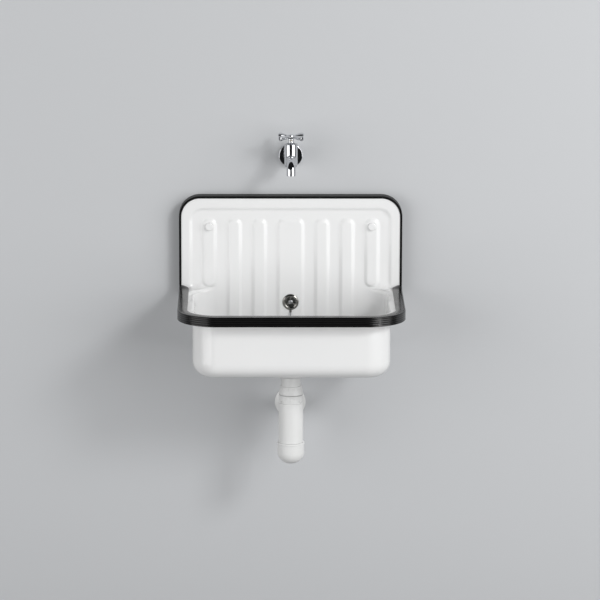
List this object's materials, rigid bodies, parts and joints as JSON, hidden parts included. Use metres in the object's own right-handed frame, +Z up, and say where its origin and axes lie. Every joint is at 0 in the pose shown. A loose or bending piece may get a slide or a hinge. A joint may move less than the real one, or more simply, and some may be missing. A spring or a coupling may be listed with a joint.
{
  "type": "wall-hung utility sink",
  "caption": "Wall-hung enamelled utility sink with ribbed splashback, black rim guard, overflow, chained plug, bottle trap and a cross-handle wall tap.",
  "frame": {"origin": "midway between the two wall screws, on the wall plane", "axes": "+X to the right for someone facing the wall, +Y into the wall, +Z up"},
  "size_m": [0.51, 0.395, 0.7422],
  "materials": {
    "enamel": "glossy white enamel",
    "black_edging": "black, satin gloss",
    "zinc_steel": "bright zinc",
    "chrome": "polished chrome",
    "white_plastic": "white, satin",
    "rubber": "matt black",
    "brass": "machined"
  },
  "bodies": {
    "sink": {"basin": "enamel", "fixing_caps": "enamel", "splash_edge_trim": "black_edging", "rim_guard": "black_edging", "fixing_screws": "zinc_steel", "fixing_washers": "zinc_steel", "overflow_screw": "zinc_steel", "waste_screw": "zinc_steel", "overflow_rosette": "chrome", "waste_strainer": "chrome", "chain_clasp": "chrome", "plug_chain": "chrome", "tap_body": "chrome", "tap_wall_rosette": "chrome", "tap_bonnet": "chrome", "spout_nozzle": "chrome", "fixing_spacers": "white_plastic", "overflow_elbow": "white_plastic", "overflow_pipe": "white_plastic", "overflow_pipe_nuts": "white_plastic", "waste_body": "white_plastic", "trap_inlet_nut": "white_plastic", "trap_dip_tube": "white_plastic", "trap_collar_nut": "white_plastic", "trap_bottle": "white_plastic", "trap_outlet_nut": "white_plastic", "trap_outlet_pipe": "white_plastic", "overflow_seal": "rubber", "waste_upper_seal": "rubber", "waste_lower_seal": "rubber", "trap_inlet_seal": "rubber", "trap_collar_seal": "rubber", "trap_outlet_seal": "rubber", "tap_stem_seal": "rubber"},
    "handle": {"tap_handle": "chrome", "tap_handle_screw": "zinc_steel", "tap_handle_cap": "chrome", "tap_spindle": "brass"},
    "valve": {"tap_jumper": "brass", "tap_washer": "rubber"},
    "drain_plug": {"plug": "rubber", "plug_post": "chrome", "plug_clasp": "chrome"},
    "cup_seal": {"trap_cup_seal": "rubber"},
    "cup": {"trap_cup": "white_plastic"},
    "wall_rosette": {"waste_wall_rosette": "white_plastic"}
  },
  "joints": [
    {"name": "handle_turn", "type": "hinge", "parent": "sink", "child": "handle", "pos_m": [0, -0.06, 0.21], "axis": [0, 0, 1], "range_deg": [0, 720]},
    {"name": "valve_lift", "type": "slide", "parent": "sink", "child": "valve", "axis": [0, 0, 1], "range_m": [0, 0.004]},
    {"name": "plug_lift", "type": "slide", "parent": "sink", "child": "drain_plug", "axis": [0, 0, 1], "range_m": [0, 0.08], "deforming": ["plug_chain"]},
    {"name": "cup_drop", "type": "slide", "parent": "sink", "child": "cup_seal", "axis": [0, 0, -1], "range_m": [0, 0.012]},
    {"name": "cup_turn", "type": "hinge", "parent": "cup_seal", "child": "cup", "pos_m": [0, -0.17, -0.49], "axis": [0, 0, -1], "range_deg": [0, 1080]},
    {"name": "rosette_slide", "type": "slide", "parent": "sink", "child": "wall_rosette", "axis": [0, -1, 0], "range_m": [0, 0.08]}
  ],
  "couplings": [
    {"joint": "valve_lift", "follows": "handle_turn", "m_per_rad": 0.0003183},
    {"joint": "cup_drop", "follows": "cup_turn", "m_per_rad": 0.00063661}
  ]
}
